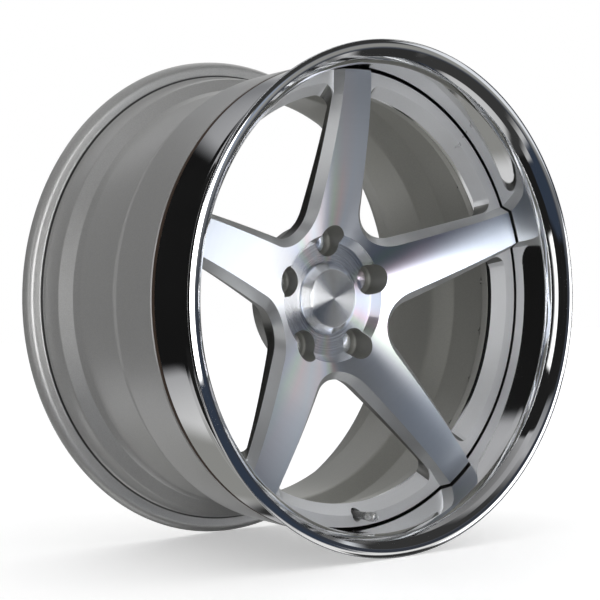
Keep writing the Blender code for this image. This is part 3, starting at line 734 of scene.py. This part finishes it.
def build_center():
    center = lathe("forged_wheel_center", center_outline(),
                   [SHADED_SATIN, MACHINED, HUB_PAD, BRIGHT, SATIN_LIGHT, RING, POCKET, BRIGHT, FORGED_BACK])
    carve(center, [
        cylinder_cutter(BOLT_HOLE_R, BOLT_REACH_Y - 0.6, RING_BACK_Y + CUT_MARGIN,
                        around(BOLTS, BOLT_CIRCLE_R), 16, C_SHADED_SATIN),
        cylinder_cutter(RING_VALVE_HOLE_R, TIP_Y, RING_BACK_Y + CUT_MARGIN, [(0.0, -VALVE_R)], 40, C_RING),
        lug_cutters(), window_cutters(), band_cutters()])
    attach(center, "wheel")
    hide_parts("wheel_center")


# ---- fasteners -----------------------------------------------------------------------------
HEAD_POINTS = 12


def star_ring(radius, inner, y, center):
    """A ring of a twelve-point head: tips and notches around center."""
    ring = []
    for i in range(HEAD_POINTS * 2):
        reach = radius if i % 2 == 0 else inner
        angle = TURN * i / (HEAD_POINTS * 2)
        ring.append((center[0] + reach * math.sin(angle), y, center[1] + reach * math.cos(angle)))
    return ring


def round_ring(radius, y, center):
    """A round ring with as many points as star_ring's, to join them."""
    return star_ring(radius, radius, y, center)


def build_bolts():
    seat = BOLT_SEAT_Y + GAP
    for number, place in enumerate(around(BOLTS, BOLT_CIRCLE_R), start=1):
        shank = [(BOLT_R, BOLT_REACH_Y, 0.6), (BOLT_R, seat), (6.8, seat, 0.25), (6.8, seat + 1.6, 0.4),
                 (5.7, seat + 2.1)]
        rings = [round_ring(p.x, p.y, place) for p in rounded(shank, False)[0][:-1]]
        for radius, inner, y in ((5.9, 5.2, seat + 2.1), (5.9, 5.2, seat + 7.4), (5.3, 4.9, seat + 8.0)):
            rings.append(star_ring(radius, inner, y, place))
        rings += [round_ring(3.0, seat + 8.0, place), round_ring(2.6, seat + 7.2, place)]
        bolt = add_piece(f"twelve_point_bolt_{number:02d}", *loft_data(rings, [0] * len(rings))[:2], [STEEL])
        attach(bolt, "wheel")
        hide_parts(f"assembly_bolt_{number:02d}")


# ---- cap -----------------------------------------------------------------------------------
def build_cap():
    seat, back, plug = HUB_PAD_Y + CAP_RECESS_DEPTH - GAP, -22.5, HUB_BORE_R - 0.45
    groove = plug - 2.4
    cap = lathe("turned_center_cap", [
        (0.4, -44.9), (10.0, -44.8), (20.0, -44.5), (28.6, -44.1, 0.5), (29.6, -43.3, 0.4),
        (CAP_SKIRT_R - 0.2, HUB_PAD_Y - 1.2, 0.8), (CAP_SKIRT_R, HUB_PAD_Y - 0.2, 0.3),
        (CAP_SKIRT_R, seat, 0.2), (plug, seat), (plug, -29.4, 0.2), (groove, -29.4), (groove, -26.6),
        (plug, -26.6, 0.2), (plug - 0.8, back, 0.5), (plug - 6.0, back, 0.5), (plug - 6.0, -36.0, 1.0),
        (0.4, -36.0)], [CAP_TURNED], 160, closed=False)
    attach(cap, "cap")
    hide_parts("center_cap")
    ring_points = [(groove + GAP + 1.0 + math.cos(TURN * i / 16), -28.0 + math.sin(TURN * i / 16))
                   for i in range(16)]
    ring = lathe("cap_rubber_ring", ring_points, [RUBBER], 120)
    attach(ring, "cap")
    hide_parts("cap_o_ring")


# ---- valve ---------------------------------------------------------------------------------
FLUTES = 24


def fluted_ring(radius, depth, y, center):
    """A ring of the valve cap, with flutes of the given depth."""
    ring = []
    for i in range(FLUTES * 4):
        angle = TURN * i / (FLUTES * 4)
        reach = radius - depth * (0.5 - 0.5 * math.cos(FLUTES * angle))
        ring.append((center[0] + reach * math.sin(angle), y, center[1] + reach * math.cos(angle)))
    return ring


def build_valve():
    center = (0.0, -VALVE_R)
    top = VALVE_TIP_Y - 3.4
    skirt, roof = VALVE_TIP_Y + 8.0, VALVE_TIP_Y - 1.8
    levels = [(0.6, 0.0, top - 0.5), (2.4, 0.0, top - 0.45), (3.6, 0.0, top - 0.2), (4.2, 0.0, top + 0.3),
              (4.3, 0.0, top + 1.2), (4.75, 0.0, top + 1.6), (VALVE_CAP_R, 0.0, top + 3.0),
              (VALVE_CAP_R, 0.35, top + 3.6), (VALVE_CAP_R, 0.35, top + 9.6), (4.75, 0.0, top + 10.2),
              (4.6, 0.0, top + 11.2), (CAP_BORE_R, 0.0, skirt), (CAP_BORE_R, 0.0, roof), (0.6, 0.0, roof)]
    rings = [fluted_ring(radius, depth, y, center) for radius, depth, y in levels]
    cap = add_piece("fluted_valve_cap", *loft_data(rings, [0] * len(rings))[:2], [NICKEL])
    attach(cap, "valve_cap")
    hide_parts("valve_cap")


def dress_small_parts():
    """The valve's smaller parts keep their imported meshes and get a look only."""
    looks = {"valve_stem": THREADED, "valve_washer": NICKEL, "valve_nut": NICKEL, "valve_grommet": RUBBER,
             "valve_core_body": BRASS, "valve_core_pin": BRASS, "valve_cap_seal": RUBBER}
    for name, material in looks.items():
        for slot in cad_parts[name].material_slots:
            slot.material = material


dress_small_parts()

build_lip()
build_barrel()
build_seal()
build_center()
build_bolts()
build_cap()
build_valve()


# ---- studio --------------------------------------------------------------------------------
SKY_LOW, SKY_HIGH = 0.55, 1.0
FLOOR_SIZE, FLOOR_GAP = 9.0, 0.0002  # metres
FLOOR_GLOW = 0.36                    # only towards the camera
# Each reflected panel: azimuth, elevation, half width and half height in degrees, slant, soft edge in
# degrees, light, tint. Azimuth 0 is in front of the wheel's face. A later panel covers an earlier one.
PANELS = (
    (46.0, -32.0, 15.0, 16.0, 0.0, 3.0, 0.8, (1.0, 0.99, 0.98)),
    (24.0, 20.0, 16.0, 12.0, 0.0, 6.0, 0.34, (0.84, 0.96, 1.18)),
    (46.0, 13.0, 14.0, 9.0, 0.0, 2.0, 0.27, (1.0, 1.0, 0.96)),
    (50.0, 42.0, 40.0, 19.0, 0.0, 4.0, 0.035, (1.0, 1.0, 1.0)),
    (44.0, -8.0, 18.0, 8.0, 0.0, 2.0, 0.045, (0.8, 0.92, 1.2)),
    (-85.0, 0.0, 61.0, 62.0, 0.0, 6.0, 0.012, (1.0, 1.0, 1.0)),
    (-57.0, 2.0, 7.0, 26.0, 0.0, 2.0, 1.4, (1.0, 1.0, 1.0)),
    (2.0, -26.0, 36.0, 16.0, 0.3, 3.0, 0.045, (0.7, 0.95, 1.45)),
    (-3.0, 2.5, 21.0, 16.0, 0.3, 2.0, 4.4, (1.0, 1.0, 1.0)),
    (72.0, -12.0, 13.0, 15.0, 0.3, 2.0, 2.5, (0.97, 0.99, 1.03)),
    (70.0, 22.0, 14.0, 12.0, 0.0, 3.0, 0.8, (0.96, 0.99, 1.04)),
    (95.0, 5.0, 9.0, 40.0, 0.0, 3.0, 0.12, (1.0, 1.0, 1.0)),
    (125.0, 10.0, 20.0, 50.0, 0.0, 6.0, 0.65, (1.0, 1.0, 1.0)),
    (100.0, -47.0, 45.0, 11.0, 0.0, 3.0, 0.03, (1.0, 1.0, 1.0)),
    (176.0, -42.0, 16.0, 12.0, 0.0, 5.0, 0.26, (1.0, 1.0, 0.95)),
    (-152.0, 9.5, 44.0, 30.0, 0.0, 3.0, 0.008, (1.0, 1.0, 1.0)),
)


# Reflected light outside the panels, from straight down (0) to straight up (1).
ROOM = (
    (0.0, (0.60, 0.60, 0.60)), (0.03, (0.50, 0.50, 0.50)), (0.045, (0.04, 0.04, 0.04)),
    (0.115, (0.04, 0.04, 0.04)), (0.15, (0.62, 0.62, 0.62)), (0.20, (0.66, 0.66, 0.66)),
    (0.34, (0.30, 0.30, 0.31)), (0.44, (0.14, 0.145, 0.155)), (0.58, (0.13, 0.135, 0.145)),
    (0.76, (0.22, 0.225, 0.235)), (0.85, (0.42, 0.42, 0.43)), (1.0, (0.16, 0.16, 0.16)))


def panel_mask(s, direction, azimuth, elevation, half_width, half_height, slant, soft):
    """1 where a direction falls inside a flat panel, 0 outside, with soft edges."""
    a, e = math.radians(azimuth), math.radians(elevation)
    out = Vector((math.sin(a) * math.cos(e), -math.cos(a) * math.cos(e), math.sin(e)))
    side = Vector((math.cos(a), math.sin(a), 0.0))
    up = out.cross(side) - slant * side
    depth = s.vector("DOT_PRODUCT", direction, tuple(out))
    inside = s.math("GREATER_THAN", depth, 0.0)
    for axis, half in ((side, half_width), (up, half_height)):
        slope = s.math("DIVIDE", s.vector("DOT_PRODUCT", direction, tuple(axis)), depth)
        limit, edge = math.tan(math.radians(half)), math.tan(math.radians(soft))
        mask = s.spread(s.math("ABSOLUTE", slope), limit - edge, limit + edge, 1.0, 0.0, True)
        inside = s.math("MULTIPLY", inside, mask)
    return inside


def build_world():
    """White for the camera, a soft sky for diffuse light and a set of soft panels for reflections."""
    world = bpy.data.worlds.new("studio")
    bpy.context.scene.world = world
    world.use_nodes = True
    tree = world.node_tree
    tree.nodes.clear()
    s = Shader(tree)
    direction = s.node("ShaderNodeTexCoord", out=0)
    height = s.node("ShaderNodeSeparateXYZ", {0: direction}, 2)
    reflected = s.ramp(s.spread(height, -1.0, 1.0, 0.0, 1.0), ROOM)
    for *shape, light, tint in PANELS:
        inside = panel_mask(s, direction, *shape)
        reflected = s.mix(inside, reflected, (*[light * c for c in tint], 1.0))
    sky = s.spread(height, -0.4, 0.9, SKY_LOW, SKY_HIGH, True)
    light_path = tree.nodes.new("ShaderNodeLightPath")
    color = s.mix(light_path.outputs["Is Glossy Ray"], sky, reflected)
    color = s.mix(light_path.outputs["Is Camera Ray"], color, gray(1.0))
    background = s.node("ShaderNodeBackground", {"Color": color, "Strength": 1.0})
    output = tree.nodes.new("ShaderNodeOutputWorld")
    tree.links.new(background, output.inputs["Surface"])


def build_floor():
    """A pale floor that the camera sees almost white, with the wheel's soft shadow, and reflections skip."""
    material = new_material("pale_floor", lambda s: {
        "Base Color": gray(0.86),
        "Roughness": s.spread(s.noise(s.object_coordinates(), 30.0 / FLOOR_SIZE), 0.3, 0.7, 0.5, 0.6),
        "Emission Color": gray(1.0),
        "Emission Strength": s.math("MULTIPLY", s.node("ShaderNodeLightPath", out=0), FLOOR_GLOW)})
    bm = bmesh.new()
    bmesh.ops.create_grid(bm, x_segments=1, y_segments=1, size=FLOOR_SIZE / 2)
    mesh = bpy.data.meshes.new("floor")
    bm.to_mesh(mesh)
    bm.free()
    mesh.materials.append(material)
    floor = bpy.data.objects.new("floor", mesh)
    floor.location = (0.0, 0.0, -FLANGE_R * MM - FLOOR_GAP)
    floor.visible_glossy = False
    bpy.context.scene.collection.objects.link(floor)


CAMERA_ANGLES = (-40.135, 1.165, 0.803)  # azimuth, elevation and roll in degrees
CAMERA_DISTANCE = 2.0314                 # metres


def build_camera():
    camera = bpy.data.cameras.new("camera")
    camera.lens = 120.57
    camera.sensor_width = 36.0
    camera.shift_x, camera.shift_y = -1 / 120, -1 / 300
    camera.clip_start, camera.clip_end = 0.05, 50.0
    azimuth, elevation, roll = map(math.radians, CAMERA_ANGLES)
    back = Vector((math.sin(azimuth) * math.cos(elevation), -math.cos(azimuth) * math.cos(elevation),
                   math.sin(elevation)))
    side = (-back).cross(Vector((0, 0, 1))).normalized()
    up = side.cross(-back)
    right = side * math.cos(roll) - up * math.sin(roll)
    top = up * math.cos(roll) + side * math.sin(roll)
    obj = bpy.data.objects.new("camera", camera)
    rotation = Matrix((right, top, back)).transposed()
    obj.matrix_world = Matrix.Translation(back * CAMERA_DISTANCE) @ rotation.to_4x4()
    bpy.context.scene.collection.objects.link(obj)
    bpy.context.scene.camera = obj


build_world()
build_floor()
build_camera()
bpy.context.scene.view_settings.view_transform = "Standard"
